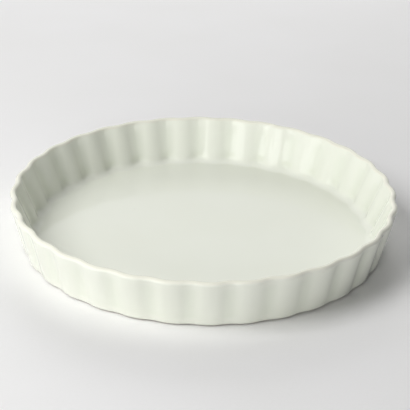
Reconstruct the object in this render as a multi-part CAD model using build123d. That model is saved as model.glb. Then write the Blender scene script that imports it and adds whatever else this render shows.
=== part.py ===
"""A round fluted baking dish: a fired clay body with a wiped foot ring, and the two coats of glaze on it.

The dish stands on the plane z = 0 with its axis on Z, in millimetres. One section, drawn along the crest of a
ridge, is turned about the centre of each ridge and of each scoop in turn. So the wall has the same thickness and
lean all round, and the waves on its inside follow those on its outside.
"""

import os
from math import asin, cos, degrees, pi, radians, sin, tan

from build123d import *

# Overall size, over the glaze
rim_radius = 140.0  # from the axis to the crest of a ridge, at the lip
dish_height = 37.0
flute_count = 32
flute_depth = 1.9  # from the circle of the ridges in to the bottom of a scoop
ridge_radius = 27.0  # rounding of a ridge's crest, seen from above, at the lip

# Wall and floor, over the glaze
lip_thickness = 4.6  # the lip is a full round of this width
floor_thickness = 4.2
outer_lean = radians(14.5)  # of the outside, from upright
inner_lean = radians(22.0)  # the inside leans more, so the wall thickens downwards
cove_radius = 6.0  # between the inside of the wall and the floor
plate_lap = 3.4  # flat floor inside the cove that belongs to the fluted wall, and laps the round plate

# Foot
foot_rounding = 2.0  # of the clay, from the wall round to the flat that the dish stands on
foot_width = 9.0  # of that flat ring, at the bottom of a scoop
recess_depth = 1.0
recess_cove = 0.7  # rounding between the recess's side and its ceiling

# Glaze
glaze_thickness = 0.45
glaze_line_height = 0.8  # the outside coat is wiped off below this
base_glaze_margin = 1.6  # bare clay round the underside's coat
glaze_bead_share = 0.6  # of the coat's thickness, rounded off along its edge on the underside

# Ridges and scoops, as seen from above: arcs that run into one another, with their centres on two circles
half_pitch = pi / flute_count
crest_centre = rim_radius - ridge_radius
scoop_bottom = rim_radius - flute_depth
scoop_squares = crest_centre**2 + scoop_bottom**2 - 2 * crest_centre * scoop_bottom * cos(half_pitch)
scoop_radius = (scoop_squares - ridge_radius**2) / 2 / (ridge_radius - scoop_bottom + crest_centre * cos(half_pitch))
scoop_centre = scoop_bottom + scoop_radius
scoop_turn = asin(crest_centre * sin(half_pitch) / (ridge_radius + scoop_radius))
ridge_turn = scoop_turn + half_pitch

# The lip's round, and the straight stretches that run out of it
lip_rounding = lip_thickness / 2
lip_centre = (rim_radius - lip_rounding, dish_height - lip_rounding)


def outer_wall_radius(z):
    """Radius at height z of the straight outside, along a ridge, over the glaze."""
    touch_radius = lip_centre[0] + lip_rounding * cos(outer_lean)
    touch_height = lip_centre[1] - lip_rounding * sin(outer_lean)
    return touch_radius - (touch_height - z) * tan(outer_lean)


def inner_wall_radius(z):
    """Radius at height z of the straight inside, along a ridge, over the glaze."""
    touch_radius = lip_centre[0] - lip_rounding * cos(inner_lean)
    touch_height = lip_centre[1] + lip_rounding * sin(inner_lean)
    return touch_radius - (touch_height - z) * tan(inner_lean)


# The rounds at the bottom of the wall, outside and inside
foot_centre_radius = outer_wall_radius(foot_rounding) - (glaze_thickness + foot_rounding) / cos(outer_lean)
foot_centre = (foot_centre_radius, foot_rounding)
cove_centre_height = floor_thickness + cove_radius
cove_centre = (inner_wall_radius(cove_centre_height) - cove_radius / cos(inner_lean), cove_centre_height)
lap_radius = cove_centre[0] - plate_lap
plate_radius = lap_radius + (plate_lap - flute_depth) / 2
recess_radius = foot_centre_radius - flute_depth - foot_width
wiped_angle = asin((foot_rounding - glaze_line_height) / (foot_rounding + glaze_thickness))


def round_edge(centre, radius, first, last):
    """Round in the wall's section, between two angles from straight outwards, up being positive."""
    return CenterArc(centre, radius, degrees(first), degrees(last - first))


def skin(depth, foot_angle):
    """Edges of the section at that depth under the glaze's surface, from the foot over the lip to the floor.

    foot_angle is how far round the foot they begin.
    """
    foot = round_edge(foot_centre, foot_rounding + glaze_thickness - depth, -foot_angle, -outer_lean)
    lip = round_edge(lip_centre, lip_rounding - depth, -outer_lean, pi - inner_lean)
    cove = round_edge(cove_centre, cove_radius + depth, -inner_lean, -pi / 2)
    outside = Line(foot @ 1, lip @ 0)
    inside = Line(lip @ 1, cove @ 0)
    floor = Line(cove @ 1, (lap_radius, floor_thickness - depth))
    return [foot, outside, lip, inside, cove, floor]


def fluted_ring(edges, plate):
    """Solid of the closed section turned through every ridge and scoop, joined to a plate in the middle."""
    section = Plane.XZ * make_face(edges)
    ridge_axis = Axis((crest_centre, 0, 0), (0, 0, 1))
    scoop_axis = Axis((scoop_centre * cos(half_pitch), scoop_centre * sin(half_pitch), 0), (0, 0, 1))
    ridge_start = section.rotate(ridge_axis, -degrees(ridge_turn))
    ridge = revolve(ridge_start, ridge_axis, revolution_arc=2 * degrees(ridge_turn))
    scoop_start = section.rotate(ridge_axis, degrees(ridge_turn))
    scoop = revolve(scoop_start, scoop_axis, revolution_arc=-2 * degrees(scoop_turn))
    turns = [degrees(2 * half_pitch) * flute for flute in range(flute_count)]
    flutes = [piece.rotate(Axis.Z, turn) for turn in turns for piece in (ridge, scoop)]
    return plate.fuse(*flutes).clean()


def fired_body():
    """The clay, with its foot ring left standing round a shallow recess."""
    clay = skin(glaze_thickness, pi / 2)
    underside = Polyline(clay[-1] @ 1, (lap_radius, 0), clay[0] @ 0)
    plate = Solid.make_cylinder(plate_radius, floor_thickness - glaze_thickness)
    recess = Solid.make_cylinder(recess_radius, recess_depth)
    ceiling = recess.edges().filter_by(GeomType.CIRCLE).sort_by(Axis.Z)[-1:]
    return fluted_ring([*clay, underside], plate) - recess.fillet(recess_cove, ceiling)


def glaze_coat():
    """The coat over the floor, the inside, the lip and the outside, down to where the foot is wiped."""
    surface = skin(0, wiped_angle)
    clay = skin(glaze_thickness, wiped_angle)
    ends = [Line(surface[0] @ 0, clay[0] @ 0), Line(surface[-1] @ 1, clay[-1] @ 1)]
    lower_face = Plane.XY.offset(floor_thickness - glaze_thickness)
    plate = Solid.make_cylinder(plate_radius, glaze_thickness, lower_face)
    return fluted_ring([*surface, *clay, *ends], plate)


def base_glaze():
    """The coat on the recess's ceiling, with its edge rounded off."""
    lower_face = Plane.XY.offset(recess_depth - glaze_thickness)
    coat = Solid.make_cylinder(recess_radius - recess_cove - base_glaze_margin, glaze_thickness, lower_face)
    edge = coat.edges().filter_by(GeomType.CIRCLE).sort_by(Axis.Z)[:1]
    return coat.fillet(glaze_thickness * glaze_bead_share, edge)


os.makedirs("parts", exist_ok=True)
nodes = {"fired_body": fired_body(), "glaze_coat": glaze_coat(), "base_glaze": base_glaze()}
for name, solid in nodes.items():
    export_step(solid, f"parts/{name}.step")
    print(name, round(solid.volume), "mm3")
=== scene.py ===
"""A glazed fluted baking dish on a pale table, lit by a window on its left."""

import math

import bmesh
import bpy
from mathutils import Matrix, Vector


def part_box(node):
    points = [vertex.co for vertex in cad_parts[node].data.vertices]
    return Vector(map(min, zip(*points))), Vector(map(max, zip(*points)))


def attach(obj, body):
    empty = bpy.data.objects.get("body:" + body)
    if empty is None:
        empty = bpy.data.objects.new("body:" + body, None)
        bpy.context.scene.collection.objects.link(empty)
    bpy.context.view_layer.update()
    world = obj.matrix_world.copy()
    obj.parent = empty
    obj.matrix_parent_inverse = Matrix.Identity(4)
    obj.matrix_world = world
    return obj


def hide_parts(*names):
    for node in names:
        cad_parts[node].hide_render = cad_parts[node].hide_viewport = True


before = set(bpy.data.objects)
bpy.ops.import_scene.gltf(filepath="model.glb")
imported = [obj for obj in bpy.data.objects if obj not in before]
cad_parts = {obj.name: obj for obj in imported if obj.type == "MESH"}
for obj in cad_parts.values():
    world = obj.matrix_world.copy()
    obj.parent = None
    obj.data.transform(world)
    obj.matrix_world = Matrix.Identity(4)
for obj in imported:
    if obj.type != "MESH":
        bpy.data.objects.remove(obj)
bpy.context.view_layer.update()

# Camera
# A long lens about a metre off, which looks down on the dish from the eye level of someone at the table.
# It is turned a little about its line of sight.
photo_width = 410
focal_pixels = 1512.5
sensor_width = 36
camera_distance = 1.1008
camera_azimuth = math.radians(-2.433)
camera_elevation = math.radians(25.982)
camera_roll = math.radians(1.244)
aim = Vector((0.00098, 0, 0.0251))

camera_data = bpy.data.cameras.new("camera")
camera_data.sensor_width = sensor_width
camera_data.lens = focal_pixels / photo_width * sensor_width
camera = bpy.data.objects.new("camera", camera_data)
bpy.context.scene.collection.objects.link(camera)
bpy.context.scene.camera = camera
outwards = Vector((
    math.sin(camera_azimuth) * math.cos(camera_elevation),
    -math.cos(camera_azimuth) * math.cos(camera_elevation),
    math.sin(camera_elevation),
))
camera.location = aim + outwards * camera_distance
camera.rotation_euler = (-outwards).to_track_quat("-Z", "Y").to_euler()
camera.rotation_euler.rotate_axis("Z", camera_roll)

# Fluted skin
# The fired dish's surface, pressed in a mould whose ridges and scoops flare up the wall, and sponged round
# by hand at the lip. It is turned from one section and becomes the glaze, and a copy becomes the clay.
rim_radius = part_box("glaze_coat")[1].x
dish_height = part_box("glaze_coat")[1].z
glaze_thickness = 0.00045
floor_height = 0.0042
lip_rounding = 0.0023
outer_lean = math.radians(14.5)
inner_lean = math.radians(22)
cove_rounding = 0.006
floor_lap = 0.0015
foot_rounding = 0.0026
foot_gap = 0.0005
wiped_angle = math.radians(42)
flute_count = 32
half_pitch = math.pi / flute_count
ridge_share = 0.2143
scoop_share = 0.0114

lip_centre = Vector((rim_radius - lip_rounding, dish_height - lip_rounding))


def straight_wall_radius(height, lean, side):
    """Radius at that height of the wall's straight outside, or of its straight inside if side is -1."""
    touch = lip_centre + lip_rounding * Vector((side * math.cos(lean), -side * math.sin(lean)))
    return touch.x - (touch.y - height) * math.tan(lean)


base_radius = straight_wall_radius(0, outer_lean, 1)
foot_round = foot_rounding + glaze_thickness
foot_height = foot_gap + foot_rounding
foot_wall_radius = straight_wall_radius(foot_height, outer_lean, 1)
foot_centre = Vector((foot_wall_radius - foot_round / math.cos(outer_lean), foot_height))
cove_height = floor_height + cove_rounding
cove_wall_radius = straight_wall_radius(cove_height, inner_lean, -1)
cove_centre = Vector((cove_wall_radius - cove_rounding / math.cos(inner_lean), cove_height))

ridge_radius = base_radius * ridge_share
crest_centre = base_radius - ridge_radius
scoop_bottom = base_radius * (1 - scoop_share)
scoop_squares = crest_centre**2 + scoop_bottom**2 - 2 * crest_centre * scoop_bottom * math.cos(half_pitch)
scoop_gap = ridge_radius - scoop_bottom + crest_centre * math.cos(half_pitch)
scoop_radius = (scoop_squares - ridge_radius**2) / 2 / scoop_gap
scoop_centre = scoop_bottom + scoop_radius
scoop_axis = (scoop_centre * math.cos(half_pitch), -scoop_centre * math.sin(half_pitch), 0)
scoop_turn = math.asin(crest_centre * math.sin(half_pitch) / (ridge_radius + scoop_radius))
ridge_turn = scoop_turn + half_pitch


def flare(height):
    """How much wider than at the table the fluted outline is at that height."""
    return 1 + height * math.tan(outer_lean) / base_radius


def section_place(point):
    """Where a point of the wall's section lies before it flares, at the far side of the ridge on +X."""
    reach = point.x / flare(point.y) - crest_centre
    return Vector((crest_centre + reach * math.cos(ridge_turn), reach * math.sin(ridge_turn), point.y))


def round_edge(centre, radius, first, last, steps):
    """Points of a round in the section, between two angles from straight outwards."""
    angles = [first + (last - first) * step / steps for step in range(steps + 1)]
    return [centre + radius * Vector((math.cos(angle), math.sin(angle))) for angle in angles]


def straight_edge(start, end, steps):
    """Points between the ends of a straight stretch of the section, without the ends."""
    return [start.lerp(end, step / steps) for step in range(1, steps)]


foot_edge = round_edge(foot_centre, foot_round, -wiped_angle, -outer_lean, steps=3)
lip_edge = round_edge(lip_centre, lip_rounding, -outer_lean, math.pi - inner_lean, steps=12)
cove_edge = round_edge(cove_centre, cove_rounding, -inner_lean, -math.pi / 2, steps=8)
section = [
    *foot_edge,
    *straight_edge(foot_edge[-1], lip_edge[0], steps=9),
    *lip_edge,
    *straight_edge(lip_edge[-1], cove_edge[0], steps=15),
    *cove_edge,
    Vector((cove_centre.x - floor_lap, floor_height)),
]
places = [section_place(point) for point in section]

weld_distance = 1e-6
turn_of_copies = 2 * math.pi * (flute_count - 1) / flute_count
bpy.ops.object.select_all(action="DESELECT")
bpy.ops.mesh.primitive_plane_add(size=lip_rounding)
skin = bpy.context.object
skin.name = "glaze_surface"
bpy.ops.object.mode_set(mode="EDIT")
bpy.ops.mesh.merge(type="CENTER")
bpy.ops.transform.translate(value=places[0])
for here, there in zip(places, places[1:]):
    bpy.ops.mesh.extrude_region_move(TRANSFORM_OT_translate={"value": there - here})
bpy.ops.mesh.select_all(action="SELECT")
bpy.ops.mesh.spin(steps=16, angle=2 * ridge_turn, center=(crest_centre, 0, 0), axis=(0, 0, 1))
bpy.ops.mesh.spin(steps=12, angle=-2 * scoop_turn, center=scoop_axis, axis=(0, 0, 1))
bpy.ops.mesh.select_all(action="SELECT")
bpy.ops.mesh.spin(steps=flute_count - 1, dupli=True, angle=turn_of_copies, center=(0, 0, 0), axis=(0, 0, 1))
bpy.ops.mesh.select_all(action="SELECT")
bpy.ops.mesh.remove_doubles(threshold=weld_distance)
bpy.ops.mesh.normals_make_consistent(inside=False)
bpy.ops.object.mode_set(mode="OBJECT")


def modify(piece, kind, **settings):
    """Gives the piece a modifier with these settings, and applies it."""
    bpy.context.view_layer.objects.active = piece
    modifier = piece.modifiers.new(kind, kind)
    for name, value in settings.items():
        setattr(modifier, name, value)
    bpy.ops.object.modifier_apply(modifier=modifier.name)


heights = [point.y for point in section]
widening = flare(max(heights)) - flare(min(heights))
modify(skin, "SIMPLE_DEFORM", deform_method="TAPER", deform_axis="Z", factor=widening)

level_tolerance = 1e-5


def select_open_edge(piece, height=None):
    """Selects the open edge of the piece in edit mode, or only the one that lies at that height."""
    bpy.ops.mesh.select_all(action="DESELECT")
    shape = bmesh.from_edit_mesh(piece.data)
    for edge in shape.edges:
        rises = [0 if height is None else abs(vertex.co.z - height) for vertex in edge.verts]
        edge.select_set(edge.is_boundary and max(rises) <= level_tolerance)
    bmesh.update_edit_mesh(piece.data)


def extrude_ring(piece, radius, height, circle=False):
    """Extrudes the selected ring to this height and widest radius, and may make it a circle."""
    bpy.ops.mesh.extrude_region_move()
    if circle:
        bpy.ops.transform.tosphere(value=1)
    ring = [vertex.co for vertex in bmesh.from_edit_mesh(piece.data).verts if vertex.select]
    share = radius / max(place.xy.length for place in ring)
    bpy.ops.transform.resize(value=(share, share, 0), center_override=(0, 0, 0))
    bpy.ops.transform.translate(value=(0, 0, height))


floor_ring_shares = (0.96, 0.75, 0.5, 0.25, 0.05)
bpy.ops.object.mode_set(mode="EDIT")
select_open_edge(skin, floor_height)
for share in floor_ring_shares:
    extrude_ring(skin, cove_centre.x * share, floor_height, circle=True)
bpy.ops.mesh.merge(type="CENTER")
bpy.ops.object.mode_set(mode="OBJECT")

scoop_depth = 0.0005
scoop_fill = 0.0002
scoop_run_out = 0.0045
scoop_power = 1.5
cusp_depth = 0.0008
cusp_reach = 0.008
cusp_run_out = 0.0008
cusp_power = 3
groove_depth = 0.0002
groove_power = 2
pocket_depth = 0.0009
pocket_height = 0.0082
pocket_reach = 0.0028
pocket_power = 2
deepest = 0.002
level_normal = 0.85
steep_normal = 0.5


def eased(share):
    """0 up to 0, 1 from 1, and a smooth step between them."""
    share = min(max(share, 0), 1)
    return share * share * (3 - 2 * share)


def below_lip(height):
    """How far that height is below the lip, from half way down its rounding."""
    return dish_height - height - lip_rounding / 2


def scoop_hollow(crest, height):
    """How much deeper the outside is there, where crest goes from 0 in a scoop to 1 on a ridge."""
    depth = scoop_depth - (scoop_depth + scoop_fill) * eased(below_lip(height) / dish_height)
    return depth * (1 - crest)**scoop_power * eased(below_lip(height) / scoop_run_out)


def groove_hollow(crest, height):
    """How much deeper the inside is there: cusps at the lip, creases below, and pockets at the floor."""
    lower_down = eased(below_lip(height) / cusp_reach)
    near_crest = 1 - math.acos(2 * crest - 1) / math.pi
    cusp = (1 - lower_down) * cusp_depth * near_crest**cusp_power
    groove = lower_down * groove_depth * near_crest**groove_power
    pocket = pocket_depth * crest**pocket_power * math.exp(-((height - pocket_height) / pocket_reach)**2)
    return (cusp + groove + pocket) * eased(below_lip(height) / cusp_run_out)


hollows = skin.vertex_groups.new(name="hollows")
fillings = skin.vertex_groups.new(name="fillings")
for vertex in skin.data.vertices:
    crest = (1 + math.cos(flute_count * math.atan2(vertex.co.y, vertex.co.x))) / 2
    outside = vertex.normal.xy.dot(vertex.co.xy) > 0
    depth = (scoop_hollow if outside else groove_hollow)(crest, vertex.co.z)
    steepness = eased((level_normal - abs(vertex.normal.z)) / (level_normal - steep_normal))
    share = depth * steepness / deepest
    hollows.add([vertex.index], max(share, 0), "REPLACE")
    fillings.add([vertex.index], max(-share, 0), "REPLACE")
modify(skin, "DISPLACE", vertex_group="hollows", mid_level=0, strength=-deepest)
modify(skin, "DISPLACE", vertex_group="fillings", mid_level=0, strength=deepest)
skin.vertex_groups.clear()

unevenness_spacing = 0.05
unevenness_height = 0.00012
unevenness = bpy.data.textures.new("unevenness", "CLOUDS")
unevenness.noise_scale = unevenness_spacing
modify(skin, "DISPLACE", texture=unevenness, texture_coords="LOCAL", mid_level=1, strength=unevenness_height)

bpy.ops.object.select_all(action="DESELECT")
skin.select_set(True)
bpy.context.view_layer.objects.active = skin
bpy.ops.object.duplicate()
clay = bpy.context.object
clay.name = "clay_body"

# Glaze
# A glossy ivory glaze, a little under half a millimetre thick. It is melted over the dish down to a wiped
# line just above the foot, and the same glaze lies on the underside inside the foot ring.
smooth_angle = math.radians(40)
modify(skin, "SOLIDIFY", thickness=glaze_thickness, offset=-1, use_even_offset=True)
bpy.ops.object.select_all(action="DESELECT")
skin.select_set(True)
bpy.ops.object.shade_smooth_by_angle(angle=smooth_angle)


class Shade:
    """One output in a material's nodes. Sums and products of shades add Math nodes to the same material."""

    def __init__(self, tree, output=None):
        self.tree = tree
        self.output = output

    def node(self, kind, inputs=(), output=0, **settings):
        """Adds a node, sets it up, sets or links its inputs by name or number, and gives its output."""
        made = self.tree.nodes.new("ShaderNode" + kind)
        for name, value in settings.items():
            setattr(made, name, value)
        for name, value in dict(inputs).items():
            if isinstance(value, Shade):
                self.tree.links.new(value.output, made.inputs[name])
            else:
                made.inputs[name].default_value = value
        return Shade(self.tree, made.outputs[output] if made.outputs else None)

    def maths(self, operation, *values):
        """What a Math node makes of these shades and numbers."""
        return self.node("Math", dict(enumerate(values)), operation=operation)

    def rise(self, low, high):
        """A mask that goes smoothly from 0 where the shade is low to 1 where it is high."""
        limits = {"Value": self, "From Min": low, "From Max": high}
        return self.node("MapRange", limits, interpolation_type="SMOOTHSTEP")

    def blend(self, first, second):
        """A colour that goes from the first to the second as the shade goes from 0 to 1."""
        # Colours go by number here, because a Mix node has sockets of other kinds under the same names.
        return self.node("Mix", {0: self, 6: first, 7: second}, 2, data_type="RGBA")

    def __add__(self, other):
        return self.maths("ADD", self, other)

    def __mul__(self, other):
        return self.maths("MULTIPLY", self, other)

    def __sub__(self, other):
        return self.maths("SUBTRACT", self, other)

    def __rsub__(self, other):
        return self.maths("SUBTRACT", other, self)

    __radd__ = __add__
    __rmul__ = __mul__


def new_material(name):
    """An empty material, with the shade that its nodes start from."""
    material = bpy.data.materials.new(name)
    material.use_nodes = True
    material.node_tree.nodes.clear()
    return material, Shade(material.node_tree)


def add_surface(start, colour, roughness, relief):
    """Ends the material's nodes in a surface, whose relief is a height in metres."""
    normal = start.node("Bump", {"Height": relief, "Distance": 1, "Strength": 1})
    surface = start.node("BsdfPrincipled", {"Base Color": colour, "Roughness": roughness, "Normal": normal})
    start.node("OutputMaterial", {"Surface": surface})


ivory = (0.82, 0.84, 0.745, 1)
pale_ivory = (0.83, 0.85, 0.76, 1)
noise_low = 0.35
noise_high = 0.65
glaze, start = new_material("ivory_glaze")
place = start.node("TexCoord", output="Object")
x, y, z = (start.node("SeparateXYZ", {0: place}, axis) for axis in "XYZ")
drift = start.node("TexNoise", {"Vector": place, "Scale": 14, "Detail": 2})
colour = drift.rise(noise_low, noise_high).blend(ivory, pale_ivory)

# Pooled glaze and painted shade in the hollows: the grooves inside and the scoops outside get a darker,
# greener ivory. This stands partly for thicker glaze lying there and partly for the shade that falls in
# them.
pooled_and_shaded_ivory = (0.785, 0.815, 0.71, 1)
pool_and_shade_strength = 0.8
pool_and_shade_floor_start = 0.001
pool_and_shade_floor_full = 0.004
pool_and_shade_lip_start = 0.003
pool_and_shade_lip_full = 0.009
scoop_inset = 0.0019
side_blur = 0.0003
level_place = start.node("CombineXYZ", {0: x, 1: y})
radius = start.node("VectorMath", {0: level_place}, "Value", operation="LENGTH")
turn = start.maths("ARCTAN2", y, x)
crest = start.maths("COSINE", turn * flute_count) * 0.5 + 0.5
scoop = 1 - crest
below_top = dish_height - z
middle_of_wall = lip_centre.x - below_top * math.tan((outer_lean + inner_lean) / 2) - scoop * scoop_inset
inside = (middle_of_wall - radius).rise(-side_blur, side_blur)
clear_of_floor = (z - floor_height).rise(pool_and_shade_floor_start, pool_and_shade_floor_full)
clear_of_lip = below_top.rise(pool_and_shade_lip_start, pool_and_shade_lip_full)
# Mask of the painted shade and pooled glaze: strongest in the grooves inside and the scoops outside, fading
# out at the floor and the lip.
pooled_and_shaded = (inside * crest * crest + (1 - inside) * scoop * scoop) * clear_of_floor * clear_of_lip
colour = (pooled_and_shaded * pool_and_shade_strength).blend(colour, pooled_and_shaded_ivory)

cream = (0.83, 0.825, 0.715, 1)
lip_crown = 0.0006
cream_reach = 0.002
on_lip = 1 - below_top.rise(lip_crown, cream_reach)
colour = on_lip.blend(colour, cream)

clay_showing_through = (0.80, 0.73, 0.61, 1)
arris_start = 0.0012
arris_fading = 0.0015
arris_end = 0.0022
worn_low = 0.45
worn_high = 0.75
worn_strength = 0.25
wear = start.node("TexNoise", {"Vector": place, "Scale": 60, "Detail": 3})
lip_arris = below_top.rise(lip_crown, arris_start) * (1 - below_top.rise(arris_fading, arris_end))
worn = lip_arris * inside * wear.rise(worn_low, worn_high) * worn_strength
colour = worn.blend(colour, clay_showing_through)

iron_speck = (0.40, 0.38, 0.31, 1)
speck_radius = 0.0003
speck_core_share = 0.4
speck_spacing = 0.016
speck_strength = 0.8
clean_cells_share = 0.8
specked_cells_share = 0.85
speck_edge = speck_radius / speck_spacing
speck_cells = {"Vector": place, "Scale": 1 / speck_spacing}
from_speck = start.node("TexVoronoi", speck_cells, "Distance")
cell_colour = start.node("TexVoronoi", speck_cells, "Color")
chosen = start.node("SeparateColor", {0: cell_colour}).rise(clean_cells_share, specked_cells_share)
speck = chosen * (1 - from_speck.rise(speck_core_share * speck_edge, speck_edge))
colour = (speck * speck_strength).blend(colour, iron_speck)

glaze_roughness = 0.008
drift_roughness = 0.012
lip_roughness = 0.10
wave_height = 0.00003
peel_height = 0.000002
slow_waves = start.node("TexNoise", {"Vector": place, "Scale": 40, "Detail": 1})
orange_peel = start.node("TexNoise", {"Vector": place, "Scale": 330, "Detail": 1})
roughness = glaze_roughness + drift * drift_roughness + wear * on_lip * lip_roughness
add_surface(start, colour, roughness, slow_waves * wave_height + orange_peel * peel_height)

skin.data.materials.append(glaze)
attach(skin, "root")
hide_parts("glaze_coat")
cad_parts["base_glaze"].data.materials.clear()
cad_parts["base_glaze"].data.materials.append(glaze)

# Clay body
# The pressed clay under the glaze. It shows bare on the foot ring, which is wiped clean round a shallow
# recess and is set in from the wall, so that the wall ends just above the table.
recess_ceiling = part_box("base_glaze")[1].z
bare_angle = math.radians(54)
foot_width = 0.009
foot_inset = 0.0024
foot_ring_edge = 0.0003
recess_rounding = 0.0007
foot_radius = foot_centre.x - foot_inset
recess_radius = foot_centre.x - scoop_inset - foot_width
recess_ring_shares = (0.9, 0.6, 0.3, 0.05)

outer_edge_centre = Vector((foot_radius - foot_ring_edge, foot_ring_edge))
inner_edge_centre = Vector((recess_radius + foot_ring_edge, foot_ring_edge))
recess_cove_centre = Vector((recess_radius - recess_rounding, recess_ceiling - recess_rounding))
fluted_rings = [
    *round_edge(foot_centre, foot_rounding, -bare_angle, -math.pi / 2, steps=3),
    Vector((foot_radius, foot_gap)),
    *round_edge(outer_edge_centre, foot_ring_edge, 0, -math.pi / 2, steps=3),
]
round_rings = [
    *round_edge(inner_edge_centre, foot_ring_edge, -math.pi / 2, -math.pi, steps=3),
    *round_edge(recess_cove_centre, recess_rounding, 0, math.pi / 2, steps=3),
    *(Vector((recess_radius * share, recess_ceiling)) for share in recess_ring_shares),
]

modify(clay, "DISPLACE", mid_level=0, strength=-glaze_thickness)
bpy.context.view_layer.objects.active = clay
bpy.ops.object.mode_set(mode="EDIT")
select_open_edge(clay)
for ring in fluted_rings:
    extrude_ring(clay, ring.x, ring.y)
for ring in round_rings:
    extrude_ring(clay, ring.x, ring.y, circle=True)
bpy.ops.mesh.merge(type="CENTER")
bpy.ops.mesh.select_all(action="SELECT")
bpy.ops.mesh.normals_make_consistent(inside=False)
bpy.ops.object.mode_set(mode="OBJECT")
bpy.ops.object.select_all(action="DESELECT")
clay.select_set(True)
bpy.ops.object.shade_smooth_by_angle(angle=smooth_angle)

pale_clay = (0.80, 0.77, 0.70, 1)
sandy_clay = (0.72, 0.67, 0.58, 1)
patches_share = 0.6
bare_clay, start = new_material("bare_clay")
place = start.node("TexCoord", output="Object")
patches = start.node("TexNoise", {"Vector": place, "Scale": 45, "Detail": 3})
grain = start.node("TexNoise", {"Vector": place, "Scale": 1400, "Detail": 2})
mottling = patches * patches_share + grain * (1 - patches_share)
colour = mottling.rise(noise_low, noise_high).blend(sandy_clay, pale_clay)

grog = (0.42, 0.33, 0.24, 1)
grog_strength = 0.7
grog_core_share = 0.08
grog_edge_share = 0.16
from_grog = start.node("TexVoronoi", {"Vector": place, "Scale": 420}, "Distance")
in_grog = 1 - from_grog.rise(grog_core_share, grog_edge_share)
colour = (in_grog * grog_strength).blend(colour, grog)

rubbed_clay = (0.58, 0.55, 0.50, 1)
rubbed_strength = 0.6
rubbed_low = 0.45
rubbed_high = 0.6
z = start.node("SeparateXYZ", {0: place}, "Z")
rubbed = (1 - z.rise(0, foot_ring_edge)) * patches.rise(rubbed_low, rubbed_high)
colour = (rubbed * rubbed_strength).blend(colour, rubbed_clay)

clay_roughness = 0.78
grain_roughness = 0.15
grain_height = 0.00006
add_surface(start, colour, clay_roughness + grain * grain_roughness, grain * grain_height)

clay.data.materials.append(bare_clay)
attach(clay, "root")
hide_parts("fired_body")

# Table top
# A wide sheet of matt white paper, laid flat. The dish stands on it, and it runs on behind the dish past
# the edge of the view.
smooth_white = (0.86, 0.855, 0.855, 1)
fibre_white = (0.845, 0.84, 0.835, 1)
floor_size = 12.0
fibres_share = 0.4
paper_roughness = 0.85
fibre_height = 0.00002

bpy.ops.object.select_all(action="DESELECT")
bpy.ops.mesh.primitive_plane_add(size=floor_size, location=(0, 0, 0))
floor = bpy.context.object
floor.name = "floor"
paper, start = new_material("matt_paper")
place = start.node("TexCoord", output="Object")
fibres = start.node("TexNoise", {"Vector": place, "Scale": 500, "Detail": 3})
clouding = start.node("TexNoise", {"Vector": place, "Scale": 9, "Detail": 2})
unevenly_white = fibres * fibres_share + clouding * (1 - fibres_share)
colour = unevenly_white.rise(noise_low, noise_high).blend(smooth_white, fibre_white)
add_surface(start, colour, paper_roughness, fibres * fibre_height)
floor.data.materials.append(paper)

# Window and room
# A pale room with soft lamps round it, and a low window on the front left that the glaze mirrors, with a
# crossbar in its side pane. The soft lamps stand for walls and curtains, and aren't mirrored.


def add_lamp(name, azimuth, elevation, width, height, radiance, distance=1.8, mirrored=False, aside=0,
             raised=0):
    """A flat lamp that faces the dish from a direction in degrees, moved aside and up along its sides."""
    lamp_data = bpy.data.lights.new(name, "AREA")
    lamp_data.shape = "RECTANGLE"
    lamp_data.size = width
    lamp_data.size_y = height
    lamp_data.energy = radiance * math.pi * width * height
    lamp = bpy.data.objects.new(name, lamp_data)
    lamp.visible_glossy = mirrored
    bpy.context.scene.collection.objects.link(lamp)
    level = math.cos(math.radians(elevation))
    outwards = Vector((
        math.cos(math.radians(azimuth)) * level,
        math.sin(math.radians(azimuth)) * level,
        math.sin(math.radians(elevation)),
    ))
    facing = (-outwards).to_track_quat("-Z", "Y")
    lamp.location = outwards * distance + facing @ Vector((aside, raised, 0))
    lamp.rotation_euler = facing.to_euler()


add_lamp("curtain", azimuth=-157, elevation=48, width=0.87, height=0.87, radiance=6.5, distance=1.4)
add_lamp("back_wall", azimuth=90, elevation=25, width=1.0, height=0.8, radiance=4.8)
add_lamp("back_corner", azimuth=64, elevation=40, width=1.0, height=1.0, radiance=2.1)
add_lamp("front_wall", azimuth=-101, elevation=12, width=0.7, height=0.7, radiance=6.2)

window_azimuth = -140
window_elevation = 15
window_radiance = 1.8
window_height = 0.44
casement_width = 0.82
side_width = 0.30
post_width = 0.03
crossbar_height = 0.06
crossbar_place = 0.08
casement_aside = (side_width + post_width) / 2
side_aside = -(casement_width + post_width) / 2
side_panes = ((-window_height / 2, crossbar_place), (crossbar_place + crossbar_height, window_height / 2))
add_lamp("casement", window_azimuth, window_elevation, casement_width, window_height, window_radiance,
         mirrored=True, aside=casement_aside)
for low, high in side_panes:
    add_lamp("side_pane", window_azimuth, window_elevation, side_width, high - low, window_radiance,
             mirrored=True, aside=side_aside, raised=(low + high) / 2)

room_colour = (0.99, 1.0, 0.995, 1)
room_light = 0.02
room_seen = 0.95
world = bpy.data.worlds.new("room")
bpy.context.scene.world = world
world.use_nodes = True
world.node_tree.nodes.clear()
start = Shade(world.node_tree)
seen_rays = ("Is Camera Ray", "Is Glossy Ray", "Is Transmission Ray")
camera_ray, glossy_ray, transmission_ray = (start.node("LightPath", output=ray) for ray in seen_rays)
seen = start.maths("MAXIMUM", start.maths("MAXIMUM", camera_ray, glossy_ray), transmission_ray)
strength = room_light + seen * (room_seen - room_light)
background = start.node("Background", {"Color": room_colour, "Strength": strength})
start.node("OutputWorld", {"Surface": background})

bpy.context.scene.view_settings.view_transform = "Standard"
